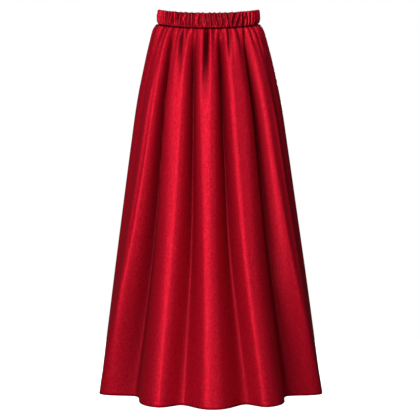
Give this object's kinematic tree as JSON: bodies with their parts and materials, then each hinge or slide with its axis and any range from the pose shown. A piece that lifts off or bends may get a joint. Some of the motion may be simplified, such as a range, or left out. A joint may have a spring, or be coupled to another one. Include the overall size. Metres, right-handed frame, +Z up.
{
  "type": "satin skirt",
  "caption": "Long flared skirt of red satin, gathered into an elasticated waistband, filled out as worn and open at waist and hem.",
  "frame": {"origin": "centre of the waist opening, halfway up the waistband at the side seams", "axes": "+Z up from hem to waist, -Y towards the front of the wearer, +X towards the wearer's left hand"},
  "size_m": [0.5658, 0.5413, 0.97],
  "materials": {
    "satin_panels": "deep red satin with a soft sheen and a fine grain",
    "satin_band": "the same satin, finely gathered over elastic"
  },
  "bodies": {
    "root": {"front_panel": "satin_panels", "back_panel": "satin_panels", "waistband": "satin_band"}
  },
  "joints": []
}
